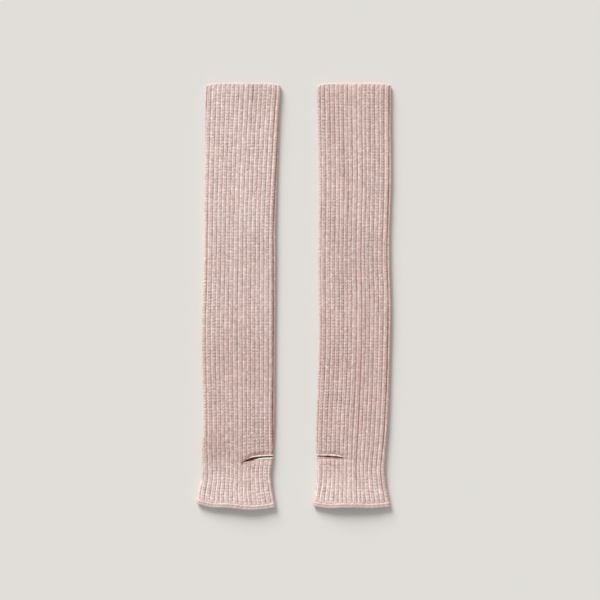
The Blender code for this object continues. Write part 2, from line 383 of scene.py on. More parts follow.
RIGHT = Leg(
    name="right",
    opens=-1,
    slit_down=0.5232,
    slit_droop=0.0029,
    outline=table(
        "down left right",
        (0.000, 0.0325, 0.1366),
        (0.011, 0.0320, 0.1366),
        (0.039, 0.0326, 0.1365),
        (0.137, 0.0348, 0.1369),
        (0.207, 0.0347, 0.1353),
        (0.249, 0.0344, 0.1351),
        (0.305, 0.0348, 0.1366),
        (0.361, 0.0353, 0.1363),
        (0.473, 0.0313, 0.1328),
        (0.508, 0.0308, 0.1305),
        (0.528, 0.0316, 0.1290),
        (0.543, 0.0327, 0.1283),
        (0.557, 0.0321, 0.1296),
        (0.568, 0.0308, 0.1308),
        (0.580, 0.0285, 0.1331),
        (0.600, 0.0266, 0.1364),
    ),
    hem_line=table(
        "across down",
        (-1.00, 0.5930),
        (-0.85, 0.5942),
        (-0.60, 0.5955),
        (-0.20, 0.5948),
        (0.15, 0.5948),
        (0.55, 0.5957),
        (1.00, 0.5938),
    ),
    swells=table(
        "down across length spread height",
        (0.040, 0.20, 0.065, 0.60, 0.0006),
        (0.160, -0.25, 0.080, 0.55, 0.0007),
        (0.290, 0.25, 0.085, 0.50, 0.0006),
        (0.430, -0.10, 0.065, 0.60, 0.0006),
        (0.523, -0.60, 0.018, 0.55, -0.0006),
        (0.596, -0.05, 0.036, 0.75, 0.0042),
    ),
    stretched=7,
    # Creases, whose dark column paints shade into them as well as their depth
    creases=table(
        "turn width down length depth dark",
        (7.00, 0.20, 0.30, 0.60, 0.0008, 0.50),
        (1.00, 0.16, 0.45, 0.28, 0.0004, 0.30),
    ),
    # Painted shade in the slit: the lower lip is shaded up to this turn, and the gap's yarn is painted this
    # dark.
    dark_lip=7.5,
    gap_dark=0.36,
    filled=0.05,
    varied=1,
    pair=Pair(left=0.12, right=0.16),
    twists=table(
        "down ribs",
        (0.000, 0.70),
        (0.080, 0.63),
        (0.140, 0.60),
        (0.200, 0.52),
        (0.250, 0.46),
        (0.300, 0.49),
        (0.350, 0.42),
        (0.410, 0.43),
        (0.460, 0.35),
        (0.510, 0.27),
        (0.550, 0.09),
        (0.600, 0.13),
    ),
    tones=table(
        "down share",
        (0.000, 0.87),
        (0.020, 0.76),
        (0.070, 0.81),
        (0.120, 0.82),
        (0.200, 0.80),
        (0.250, 0.78),
        (0.295, 0.79),
        (0.340, 0.73),
        (0.385, 0.70),
        (0.430, 0.74),
        (0.475, 0.74),
        (0.510, 0.80),
        (0.550, 0.90),
        (0.580, 1.00),
        (0.600, 1.00),
    ),
    # Soft darker spots, which paint the shade above the slit's upper lip and below its lower lip.
    shades=table(
        "down across length spread level",
        (0.518, -0.60, 0.003, 0.40, -0.30),
        (0.532, -0.70, 0.004, 0.20, -0.15),
    ),
    lips=table(
        "turn gap upper lower",
        (1.0, 0.0001, 0.0004, 0.0003),
        (1.6, 0.0002, 0.0004, 0.0000),
        (2.0, 0.0007, 0.0002, -0.0006),
        (2.9, 0.0007, 0.0003, -0.0005),
        (3.6, 0.0014, 0.0001, -0.0007),
        (4.4, 0.0008, 0.0004, -0.0005),
        (5.4, 0.0014, 0.0001, -0.0007),
        (6.4, 0.0007, 0.0004, -0.0004),
        (7.2, 0.0008, 0.0001, -0.0005),
        (8.5, 0.0006, 0.0002, -0.0002),
        (9.5, 0, 0, 0),
        (16.0, 0, 0, 0),
    ),
)
LEGS = (LEFT, RIGHT)


class KnitSizes(bpy.types.PropertyGroup):
    """Sizes of the knitted cloth."""

    wall: FloatProperty(
        name="Wall", description="Thickness of the cloth without its ribs", default=0.0022, unit="LENGTH"
    )
    rib_height: FloatProperty(
        name="Rib height", description="Height of a rib over the valley", default=0.0017, unit="LENGTH"
    )
    rib_fullness: FloatProperty(
        name="Rib fullness", description="How square the ribs are", default=2.8, min=1
    )
    rib_lean: FloatProperty(
        name="Rib lean", description="Under 1, the left flank of a rib is the steeper one", default=0.78
    )
    strand_groove: FloatProperty(
        name="Strand groove",
        description="Depth of the groove between the two strands of a rib",
        default=0.00045,
        unit="LENGTH",
    )
    stitch_relief: FloatProperty(
        name="Stitch relief", description="Height of one stitch", default=0.0009, unit="LENGTH"
    )
    course: FloatProperty(
        name="Course", description="Distance from one stitch to the next", default=0.00415, unit="LENGTH"
    )
    slant: FloatProperty(
        name="Slant",
        description="How much lower the middle of a stitch is than its sides",
        default=0.0016,
        unit="LENGTH",
    )
    wander: FloatProperty(
        name="Wander",
        description="How far a stitch strays along its rib",
        default=0.0010,
        unit="LENGTH",
    )
    pressed_groove: FloatProperty(
        name="Pressed groove",
        description="Depth of the grooves between the pressed ribs of the underside",
        default=0.0008,
        unit="LENGTH",
    )
    edge_height: FloatProperty(
        name="Edge height", description="Height of the cast-off edge", default=0.0011, unit="LENGTH"
    )
    seed: IntProperty(name="Seed", description="Picks the small unevenness of the stitches", default=7)


class YarnColours(bpy.types.PropertyGroup):
    """Colours and finish of the yarn."""

    crest: FloatVectorProperty(
        name="Crest", description="Yarn on the ribs", default=(0.86, 0.652, 0.604), subtype="COLOR"
    )
    # Painted highlight: besides the paler fibres, this colour lies on the left strand of each rib, which
    # faces the light.
    fleck: FloatVectorProperty(
        name="Fleck",
        description="Paler fibres, and the raised strand on the left of each rib",
        default=(0.88, 0.765, 0.72),
        subtype="COLOR",
    )
    # Painted shade: the valley colour stands in for the shade between the ribs.
    valley: FloatVectorProperty(
        name="Valley", description="Yarn between the ribs", default=(0.42, 0.21, 0.175), subtype="COLOR"
    )
    edge: FloatVectorProperty(
        name="Edge", description="Yarn of the knitted edges", default=(0.90, 0.76, 0.71), subtype="COLOR"
    )
    # Painted shade: the hollow colour stands in for the shade deep in the slit.
    hollow_shade: FloatVectorProperty(
        name="Hollow", description="Yarn deep in the slit", default=(0.14, 0.068, 0.052), subtype="COLOR"
    )
    heather: FloatProperty(
        name="Heather", description="Strength of the flecks in the yarn", default=0.46, subtype="FACTOR"
    )
    stitch_tone: FloatProperty(
        name="Stitch tone",
        description="How much one stitch differs from the next",
        default=0.11,
        subtype="FACTOR",
    )
    # Painted shade where one stitch dives under the next
    rung_shade: FloatProperty(
        name="Rung",
        description="How dark the yarn is where one stitch dives under the next",
        default=0.21,
        subtype="FACTOR",
    )
    nap: FloatProperty(
        name="Nap", description="Strength of the soft sheen of the fibres", default=0.08, subtype="FACTOR"
    )


class StudioSettings(bpy.types.PropertyGroup):
    """Floor, light and camera."""

    floor: FloatVectorProperty(
        name="Floor", description="Colour of the floor", default=(0.82, 0.797, 0.757), subtype="COLOR"
    )
    key_strength: FloatProperty(name="Key", description="Strength of the key light", default=3.44)
    key_elevation: FloatProperty(
        name="Key elevation",
        description="Height of the key light over the floor",
        default=math.radians(26.5),
        subtype="ANGLE",
    )
    key_heading: FloatProperty(
        name="Key heading",
        description="Side that the key light comes from, turned from the upper edge to the left",
        default=math.radians(28.5),
        subtype="ANGLE",
    )
    key_spread: FloatProperty(
        name="Key spread",
        description="How wide the key light is, which softens its shadows",
        default=math.radians(32),
        subtype="ANGLE",
    )
    fill_strength: FloatProperty(name="Fill", description="Strength of the light all round", default=0.43)
    picture_width: FloatProperty(
        name="Picture width", description="Width of the floor in the picture", default=0.840, unit="LENGTH"
    )
    picture_right: FloatProperty(
        name="Picture right",
        description="How far right of the pair's middle the picture's middle is",
        default=0.0087,
        unit="LENGTH",
    )
    picture_below: FloatProperty(
        name="Picture below",
        description="How far below the pair's middle the picture's middle is",
        default=0.0050,
        unit="LENGTH",
    )
    lens: FloatProperty(name="Lens", description="Focal length", default=100, subtype="DISTANCE_CAMERA")


def eased(share):
    """0 to 1 with level ends."""
    share = np.clip(share, 0.0, 1.0)
    return share * share * (3 - 2 * share)


def rising(low, share):
    """low to 1 with level ends."""
    return low + (1 - low) * eased(share)


def bell(value, middle, width):
    return np.exp(-(((value - middle) / width) ** 2))


def spot(down, across, row):
    """1 at the middle of this row's soft spot, fading all round it."""
    along = (down - row.down) / row.length
    return np.exp(-(along**2) - ((across - row.across) / row.spread) ** 2)


def squared(wave, power):
    """A sine or cosine with its rounds pressed square, for a power under 1."""
    return np.sign(wave) * np.abs(wave) ** power


def curve_through(knots, at):
    """The values, at these places, of the smooth curve through (place, value) pairs in order."""
    places, values = (np.array(column, float) for column in zip(*knots))
    last = len(places) - 1
    before = np.maximum(np.arange(last + 1) - 1, 0)
    after = np.minimum(np.arange(last + 1) + 1, last)
    slopes = (values[after] - values[before]) / (places[after] - places[before])
    at = np.clip(at, places[0], places[last])
    upper = np.clip(np.searchsorted(places, at), 1, last)
    lower = upper - 1
    step = places[upper] - places[lower]
    t = (at - places[lower]) / step
    return (
        (2 * t**3 - 3 * t**2 + 1) * values[lower]
        + (t**3 - 2 * t**2 + t) * step * slopes[lower]
        + (3 * t**2 - 2 * t**3) * values[upper]
        + (t**3 - t**2) * step * slopes[upper]
    )


def column_through(rows, place, value, at):
    """The smooth curve through one column of a table over another, at these places."""
    return curve_through([(getattr(row, place), getattr(row, value)) for row in rows], at)


def sizes():
    return bpy.context.scene.knit_sizes


def fold_radius():
    return sizes().wall + LAYER_GAP / 2


def fold_angle(turn):
    """0 on the upper layer, pi on the under layer and between them on a fold."""
    return math.pi * np.clip((np.abs(turn) - FLAT_RIBS) / FOLD_RIBS, 0.0, 1.0)


def raised_share(turn):
    """How much of the relief stands here: all on the upper layer, none on the underside."""
    return (1 + np.cos(fold_angle(turn))) / 2


def lift(leg, across, down):
    """How far the upper layer stands off its lowest place, from its soft swells."""
    total = sum(swell.height * spot(down, across, swell) for swell in leg.swells)
    return total * (1 - across**SWELL_EDGE_POWER)


def tone_share(leg, turn, down):
    """How much of the crest's colour the yarn shows here, from soft patches."""
    across = np.clip(np.abs(turn) / FLAT_RIBS, 0, 1) * np.sign(turn)
    share = curve_through(leg.tones, down)
    # The spots lower the share; those along the heel slit's lips are painted shade.
    for shade in leg.shades:
        share = share + shade.level * spot(down, across, shade)
    return np.where(np.abs(turn) < FINE_REACH, share, UNDERSIDE_TONE)


def slit_bend(leg, across):
    """How much lower than its outer end the slit's line is, which droops towards its inner end."""
    inner_end = SLOT_START / (HALF_ROUND / 2)
    from_inner = (across * leg.opens - inner_end) / (1 - inner_end)
    along_slit = leg.slit_droop * (1 - np.clip(from_inner, 0, 1)) ** SLIT_DROOP_POWER
    past_slit = leg.slit_droop * eased(1 + SLIT_FADE * from_inner)
    return np.where(from_inner >= 0, along_slit, past_slit)


def bends(leg, across, down):
    """How much further down a point lies than its row, at the corners, the slit and the hem."""
    corner = TOP_CORNER_DROP * np.abs(across) ** TOP_CORNER_POWER * eased(1 - down / TOP_EASE)
    slit = slit_bend(leg, across) * eased(1 - np.abs(down - leg.slit_down) / SLIT_EASE)
    hem_here = curve_through(leg.hem_line, across) - HEM_DOWN
    return corner + slit + hem_here * eased(1 - (HEM_DOWN - down) / HEM_EASE)


def frame_shift_y():
    """The solids stand over the middle of their box, a hair off the middle of the leg's length."""
    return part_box("left_top_edge")[1].y - LENGTH / 2


def cloth_points(leg, turn, down, out):
    """The places of points of the cloth, as an array with a last axis of three."""
    turn, down, out = np.broadcast_arrays(*(np.asarray(part, float) for part in (turn, down, out)))
    turn = (turn + HALF_ROUND) % RIBS_ROUND - HALF_ROUND
    left = column_through(leg.outline, "down", "left", down)
    right = column_through(leg.outline, "down", "right", down)
    radius = fold_radius()
    flat = (right - left) / 2 - radius - sizes().rib_height / 2
    side = np.where(turn < 0, -1.0, 1.0)
    angle = fold_angle(turn)
    flat_turns = np.minimum(np.minimum(np.abs(turn), HALF_ROUND - np.abs(turn)), FLAT_RIBS)
    reach = flat * flat_turns / FLAT_RIBS
    across = side * (reach + np.sin(angle) * radius) / (flat + radius)
    x = (left + right) / 2 + side * (reach + np.sin(angle) * (radius + out))
    z = radius + np.cos(angle) * (radius + out) + lift(leg, across, down) * raised_share(turn)
    y = LENGTH / 2 - down - bends(leg, across, down) + frame_shift_y()
    return np.stack((x, y, z), axis=-1)


def twist(leg, down):
    """How many ribs the knitting is turned round the tube here, to the right."""
    return curve_through(leg.twists, down)


def slot_half(turn):
    """Half the height of the heel's opening. turn counts ribs towards the side that it opens to."""
    from_end = np.minimum(turn - SLOT_START, SLOT_END - turn)
    return SLOT_END_HALF + (SLOT_HALF - SLOT_END_HALF) * eased(from_end / SLOT_TAPER)


def drawn_in(leg, turn, down):
    """down after the ends of the heel's opening have drawn the cloth together."""
    beyond_end = np.maximum(np.maximum(SLOT_START - turn, turn - SLOT_END), 0)
    pull = (SLOT_HALF - slot_half(turn)) * eased(1 - beyond_end / SLOT_TAPER)
    from_slit = down - leg.slit_down
    nearness = eased(1 - (np.abs(from_slit) - SLOT_HALF) / SLOT_PULL)
    inside = np.clip(np.abs(from_slit) / SLOT_HALF, 0, 1)
    return down - np.sign(from_slit) * pull * nearness * inside


def rib_profile(place):
    """Height share of a rib. place goes from 0 in the valley on its left to 1 in the one on its right."""
    return 1 - np.abs(2 * place ** sizes().rib_lean - 1) ** sizes().rib_fullness


def lobe(phase):
    """Height of a stitch along its length: it swells slowly and dives under the next one."""
    phase = np.clip(phase, 0, 1)
    return phase * (1 - phase) ** LOBE_DIVE / LOBE_PEAK


def uneven(rng, rows, columns, row_at, column_at):
    """Smooth random values from -1 to 1: one for each cell of a table, blended between cells."""
    spare_cells = 3
    values = rng.uniform(-1, 1, (int(rows) + spare_cells, int(columns) + spare_cells))
    row, column = np.floor(row_at).astype(int), np.floor(column_at).astype(int)
    r, c = eased(row_at - row), eased(column_at - column)
    upper = values[row, column] * (1 - c) + values[row, column + 1] * c
    lower = values[row + 1, column] * (1 - c) + values[row + 1, column + 1] * c
    return upper * (1 - r) + lower * r


def finish_cloth(name, points, faces, knit_uv, relief, material):
    """An object from points and faces, its faces turned outwards, with its knit map and relief.

    knit_uv holds a pair for each corner of each face, and relief a value for each point: the share of the
    crest's colour, which paints shade where it is low and below 0."""
    mesh = bpy.data.meshes.new(name)
    mesh.from_pydata(points.tolist(), [], faces)
    layer = mesh.uv_layers.new(name="knit")
    layer.data.foreach_set("uv", np.asarray(knit_uv, np.float32).ravel())
    heights = mesh.attributes.new("relief", "FLOAT", "POINT")
    heights.data.foreach_set("value", np.asarray(relief, np.float32).ravel())
    work = bmesh.new()
    work.from_mesh(mesh)
    bmesh.ops.recalc_face_normals(work, faces=work.faces)
    work.to_mesh(mesh)
    work.free()
    mesh.shade_smooth()
    mesh.materials.append(material)
    made = bpy.data.objects.new(name, mesh)
    bpy.context.scene.collection.objects.link(made)
    return made


def course_rows(leg):
    """How many courses a tube has, which of them the heel's slot takes, and where they start and end."""
    course = sizes().course
    start = TOP_EDGE_TALL - EDGE_LAP
    end = HEM_DOWN - HEM_TALL + EDGE_LAP
    above = round((leg.slit_down - SLOT_HALF - start) / course)
    below = round((end - leg.slit_down - SLOT_HALF) / course)
    return Rows(above + SLOT_COURSES + below, (above, above + SLOT_COURSES), start, end)


def course_down(leg, rows, course):
    """How far down the leg a course lies."""
    lips = (leg.slit_down - SLOT_HALF, leg.slit_down + SLOT_HALF)
    return np.interp(course, (0, *rows.slot, rows.courses), (rows.start, *lips, rows.end))


def spread_ribs(leg, turned):
    """turned after the middle pair has closed up and the ribs by the folds have spread."""
    to_right = leg.pair.right * bell(turned, PAIR_EDGE, PAIR_WIDE)
    to_left = leg.pair.left * bell(turned, -PAIR_EDGE, PAIR_WIDE)
    turned = turned - to_right + to_left
    by_folds = bell(turned, leg.stretched, STRETCH_WIDE) - bell(turned, LEFT_SHOULDER, STRETCH_WIDE)
    return turned - FOLD_STRETCH * by_folds


def knit_outside(leg, rows, ring_turn, course, fine):
    """Points, relief and knit map of the outer face. ring_turn and course are arrays."""
    size = sizes()
    ring_turn, course = np.broadcast_arrays(ring_turn, course)
    down = course_down(leg, rows, course)
    turned = spread_ribs(leg, leg.opens * ring_turn - twist(leg, down))
    turn = (leg.opens * ring_turn + HALF_ROUND) % RIBS_ROUND - HALF_ROUND
    column = (turn - twist(leg, down) + RIBS_ROUND) * 2
    courses, columns = rows.courses + 1, 4 * RIBS_ROUND
    rng = np.random.default_rng(size.seed + (leg.opens > 0))

    def patches(tall, wide):
        """Random values that change over this many courses and half ribs."""
        return uneven(rng, courses / tall, columns / wide, course / tall, column / wide)

    each_stitch = patches(1, 1)
    each_height = patches(1, 1)
    along_rib = patches(5, 2)
    stray = patches(2, 2)
    patch = patches(9, 9)
    each_rib = leg.varied * patches(16, 2)

    to_hem = rows.courses - course
    to_end = np.minimum(course, to_hem)
    to_lip = np.minimum(np.abs(course - rows.slot[0]), np.abs(course - rows.slot[1]))
    by_slot = (ring_turn > SLOT_START - SLOT_MARGIN) & (ring_turn < SLOT_END + SLOT_MARGIN)
    free = eased(to_end / FREE_COURSES) * np.where(by_slot, eased(to_lip / FREE_COURSES), 1)

    place = (turned + RIB_WAVER * along_rib * free) % 1
    from_middle = np.abs(2 * place - 1)
    calm = np.where(np.abs(turned) < 1, PAIR_CALM, 1.0)
    phase = course % 1
    ridge_varies = 1 + RIDGE_BY_STITCH * each_stitch + RIDGE_BY_RIB * each_rib
    ridge = size.rib_height * rib_profile(place) * ridge_varies
    ridge = ridge - size.strand_groove * bell(from_middle, 0, GROOVE_WIDE)
    strand = sum(part.share * bell(place, part.place, part.width) for part in STRANDS)
    purl = PURL_SHARE * bell(from_middle, 1, GROOVE_WIDE)
    stitch = strand * (lobe(phase) - STRAND_LEVEL) + purl * (np.sin(np.pi * phase) - PURL_LEVEL)
    stitch_varies = STITCH_EVEN + STITCH_BY_STITCH * each_height + STITCH_BY_PATCH * patch
    stitch = stitch * size.stitch_relief * stitch_varies * calm * fine
    raised = ridge + stitch * free
    raised = raised * np.where(by_slot, rising(LIP_LOW, to_lip / LIP_COURSES), 1)
    raised = raised * rising(HEM_LOW, to_hem / FREE_COURSES)
    raised = raised * rising(TOP_LOW, course / TOP_COURSES)
    dark = 0
    # Painted shade: each crease darkens the yarn as well as lowering it.
    for crease in leg.creases:
        along = bell(down, crease.down, crease.length) * (CREASE_EVEN + CREASE_BY_STITCH * each_stitch)
        here = bell(turned, crease.turn, crease.width) * along
        raised = raised - crease.depth * here
        dark = dark + crease.dark * here
    pressed = -size.pressed_groove * from_middle**PRESSED_POWER
    share = raised_share(turn)
    out = share * raised + (1 - share) * pressed
    # Painted shade: the yarn shows the crest's colour on the ribs and the valley colour where it lies low
    # between them, and the creases darken it further.
    deep = share * ridge / size.rib_height + (1 - share) * (1 + pressed / size.rib_height)
    relief = np.clip(FLANK_PALE * deep + leg.filled * (1 + FILLED_BY_RIB * each_rib), 0, 1)
    relief = np.clip(relief + TOP_PALE * (1 - eased(course / TOP_PALE_COURSES)), 0, 1)
    relief = relief * tone_share(leg, turn, down) - dark * share

    down = down + (size.slant * (0.5 - from_middle) + size.wander * stray) * share * free
    down = drawn_in(leg, ring_turn, down)
    knit_map = np.stack((turned, course), axis=-1)
    return cloth_points(leg, turn, down, out), relief, knit_map


def numbered(part, first):
    return first + np.arange(part.shape[0] * part.shape[1]).reshape(part.shape[:2])


def squares(ids, slot_rows, slot_columns):
    """The squares between these points, as lists of corners, without those of the slot."""
    corners = np.stack((ids[:-1, :-1], ids[:-1, 1:], ids[1:, 1:], ids[1:, :-1]), axis=-1)
    kept = np.ones(corners.shape[:2], bool)
    kept[slot_rows, slot_columns] = False
    return corners[kept].tolist()


def unwrapped(corner_map, faces):
    """The knit map with the turns of a face that crosses the tube's back counted on, not back."""
    start = 0
    for face in faces:
        turns = corner_map[start : start + len(face), 0]
        if np.ptp(turns) > HALF_ROUND:
            turns[turns < turns.mean()] += RIBS_ROUND
        start += len(face)
    return corner_map


def knitted_tube(leg, material):
    """The whole ribbed tube: knitted outside, plain inside, with the slit cut through it."""
    rows = course_rows(leg)
    courses, slot = rows.courses, rows.slot
    top_turn = np.linspace(-FINE_REACH, FINE_REACH, 2 * FINE_REACH * FINE_STEPS + 1)
    under_ribs = RIBS_ROUND - 2 * FINE_REACH
    under_turn = FINE_REACH + np.arange(1, under_ribs * UNDER_STEPS) / UNDER_STEPS
    ring_turn = np.concatenate((top_turn, under_turn))
    course_at = np.arange(courses * COURSE_ROWS + 1) / COURSE_ROWS
    under_course = np.arange(courses + 1)
    above, below = range(0, slot[0], INNER_COURSES), range(slot[1], courses, INNER_COURSES)
    inner_course = np.array(sorted({*above, *slot, *below, courses}))
    inner_turn = ring_turn[::INNER_EVERY]

    top, top_relief, top_map = knit_outside(leg, rows, top_turn, course_at[:, None], 1)
    under, under_relief, under_map = knit_outside(leg, rows, under_turn, under_course[:, None], 0)
    inner_down = drawn_in(leg, inner_turn, course_down(leg, rows, inner_course)[:, None])
    inner = cloth_points(leg, leg.opens * inner_turn, inner_down, -sizes().wall)
    inner_map = np.stack(np.broadcast_arrays(leg.opens * inner_turn, inner_course[:, None]), -1)

    top_id = numbered(top, 0)
    under_id = numbered(under, top_id.size)
    inner_id = numbered(inner, top_id.size + under_id.size)
    ring_id = np.concatenate((top_id[::COURSE_ROWS], under_id), axis=1)
    inner_round, ring_round = inner_id.shape[1], ring_id.shape[1]
    slot_first = round((FINE_REACH + SLOT_START) * FINE_STEPS)
    slot_last = len(top_turn) - 1 + round((SLOT_END - FINE_REACH) * UNDER_STEPS)
    inner_slot = (slot_first // INNER_EVERY, slot_last // INNER_EVERY)
    fine_slot = (slot[0] * COURSE_ROWS, slot[1] * COURSE_ROWS)

    closed_inner = np.concatenate((inner_id, inner_id[:, :1]), axis=1)
    slot_row = int(np.flatnonzero(inner_course == slot[0])[0])
    faces = squares(top_id, slice(*fine_slot), slice(slot_first, None))
    faces += squares(under_id, slice(*slot), slice(slot_last - len(top_turn)))
    faces += squares(closed_inner, slot_row, slice(*inner_slot))

    for course in range(courses):
        fine_rows = slice(course * COURSE_ROWS, (course + 1) * COURSE_ROWS + 1)
        faces.append([*top_id[fine_rows, 0], under_id[course + 1, -1], under_id[course, -1]])
        if not slot[0] <= course < slot[1]:
            faces.append([*top_id[fine_rows, -1], under_id[course + 1, 0], under_id[course, 0]])
    every_column = range(inner_round)
    slot_columns = range(*inner_slot)
    for ring_row, inner_row, columns in (
        (0, 0, every_column),
        (courses, len(inner_course) - 1, every_column),
        (slot[0], slot_row, slot_columns),
        (slot[1], slot_row + 1, slot_columns),
    ):
        for column in columns:
            first = column * INNER_EVERY
            outside = [ring_id[ring_row, (first + i) % ring_round] for i in range(INNER_EVERY + 1)]
            faces.append([*outside, closed_inner[inner_row, column + 1], inner_id[inner_row, column]])
    slot_ends = (
        (top_id[fine_slot[0] : fine_slot[1] + 1, slot_first], inner_slot[0]),
        (ring_id[slot[0] : slot[1] + 1, slot_last], inner_slot[1]),
    )
    for outside, column in slot_ends:
        faces.append([*outside, inner_id[slot_row + 1, column], inner_id[slot_row, column]])
    faces = [[int(corner) for corner in face] for face in faces]

    points = np.concatenate([part.reshape(-1, 3) for part in (top, under, inner)])
    maps = np.concatenate([part.reshape(-1, 2) for part in (top_map, under_map, inner_map)])
    # Painted shade on the tube's inside by the slit
    inner_slit_shade = leg.gap_dark * bell(inner_down, leg.slit_down, SLIT_SHADE_WIDE) * np.ones(inner_id.shape)
    relief = np.concatenate((top_relief.ravel(), under_relief.ravel(), -inner_slit_shade.ravel()))
    corner_map = unwrapped(maps[np.concatenate(faces)].reshape(-1, 2), faces)
    return finish_cloth(f"{leg.name}_ribbed_leg", points, faces, corner_map, relief, material)


def closed_sweep(name, grid, relief, knit_step, material):
    """A ring of sections, closed both ways. knit_step is what one step adds to the knit map."""
    count, section = grid.shape[:2]
    index = np.arange(count * section).reshape(count, section)
    i, j = np.meshgrid(np.arange(count), np.arange(section), indexing="ij")
    next_i, next_j = (i + 1) % count, (j + 1) % section
    faces = np.stack((index[i, j], index[next_i, j], index[next_i, next_j], index[i, next_j]), axis=-1)
    u = np.stack((i, i + 1, i + 1, i), axis=-1) * knit_step[0]
    v = np.stack((j, j, j + 1, j + 1), axis=-1) * knit_step[1]
    knit_uv = np.stack((u.ravel(), v.ravel()), axis=-1)
    relief = np.broadcast_to(relief, grid.shape[:2])
    faces = faces.reshape(-1, 4).tolist()
    return finish_cloth(name, grid.reshape(-1, 3), faces, knit_uv, relief, material)


def turns_round(steps):
    """Turns all round a tube, as a column, in this many steps to a rib."""
    return (np.arange(RIBS_ROUND * steps) / steps - HALF_ROUND)[:, None]


def section_angles(sides):
    """The directions of the points of a round section."""
    return np.arange(sides) / sides * 2 * np.pi


def cast_off_edge(leg, material):
    """The cast-off edge at the top: a rounded chain of slanting stitches, two to a rib."""
    turn = turns_round(EDGE_STEPS)
    angle = section_angles(EDGE_SIDES)
    share = raised_share(turn)
    chain = (2 * turn + angle / (2 * np.pi)) % 1
    swell = 1 + EDGE_SWELL * (lobe(chain) - LOBE_MEAN)
    half = (TOP_EDGE_TALL + EDGE_LAP) / 2
    down = half - half * squared(np.cos(angle), EDGE_SQUARE_DOWN)
    height = sizes().edge_height + EDGE_DEPTH
    middle = -EDGE_DEPTH * share - EDGE_UNDER_DEPTH * (1 - share)
    half_thick = height * share + EDGE_UNDER_HALF * (1 - share)
    out = middle + half_thick * squared(np.sin(angle), EDGE_SQUARE_OUT) * swell
    out = np.where(out > 0, out * share, out)
    grid = cloth_points(leg, turn, down, out)
    # Painted light and shade: the edge's yarn is palest on top, darker on its outer wall, darkest
    # underneath, and shaded where it meets the leg.
    on_leg_side = np.clip(-EDGE_LEG_STEEP * np.cos(angle), 0, 1)
    outward = EDGE_SIDE_TONE + EDGE_LEG_TONE * on_leg_side + EDGE_TOP_TONE * np.sin(angle)
    relief = (EDGE_TONE + EDGE_BY_STITCH * lobe(chain)) * np.clip(outward, EDGE_LOW_TONE, 1)
    relief = relief * (1 - EDGE_JOIN_SHADE * on_leg_side * np.clip(np.sin(angle), 0, 1))
    knit_step = (1 / EDGE_STEPS, 1 / EDGE_SIDES)
    return closed_sweep(f"{leg.name}_cast_off_edge", grid, relief, knit_step, material)


def hem_welt(leg, material):
    """The welt at the foot end: two ridges of small stitches with a groove between them."""
    size = sizes()
    turn = turns_round(WELT_STEPS)
    face_down = np.linspace(0, HEM_TALL, WELT_ROWS)
    behind = 4

    def over(band):
        """A ridge's height along the section, which is 0 behind the welt."""
        heights = band.share * bell(face_down, band.down, band.width)
        return np.concatenate((heights, np.zeros(behind)))

    ridges = over(UPPER_RIDGE) + over(LOWER_RIDGE)
    in_groove = over(WELT_GROOVE)
    section_down = np.concatenate((face_down, [HEM_TALL + WELT_ROUND, HEM_TALL, HEM_TALL / 2, 0]))
    behind_out = [WELT_EDGE_OUT, -size.wall, -size.wall, -size.wall]
    face_out = WELT_HEIGHT * ridges[:-behind] - WELT_SINK
    section_out = np.concatenate((face_out, behind_out))
    share = raised_share(turn)
    stitch = lobe((2 * turn + section_down / HEM_TALL) % 1) - WELT_LEVEL
    from_middle = np.abs(2 * ((turn - twist(leg, HEM_DOWN)) % 1) - 1)
    rng = np.random.default_rng(size.seed)
    broken = uneven(rng, 1, 4 * RIBS_ROUND, 0 * turn, 2 * (turn + HALF_ROUND))
    out = section_out + ridges * (WELT_STITCH * stitch + WELT_BROKEN * broken)
    out = out + in_groove * WELT_BROKEN * bell(from_middle, 0, WELT_RIB_WIDE)
    out = np.where(out > 0, out * share, out)
    zigzag = WELT_ZIGZAG * np.sin(4 * np.pi * turn) * over(UPPER_RIDGE) / UPPER_RIDGE.share
    down = HEM_DOWN - HEM_TALL + section_down + zigzag
    grid = cloth_points(leg, turn, down, out)
    # Painted shade: the welt's yarn is paler where it stands high and darker where it lies low and in its
    # groove.
    relief = np.clip(WELT_TONE + out / WELT_TONE_HEIGHT + WELT_TONE_STITCH * stitch, 0, 1)
    relief = relief * share + WELT_UNDER_TONE * (1 - share)
    relief = np.where(section_down > WELT_RIM, WELT_RIM_TONE, relief) - WELT_GROOVE_SHADE * in_groove
    return closed_sweep(f"{leg.name}_hem_welt_knit", grid, relief, (1 / WELT_STEPS, WELT_GRAIN), material)


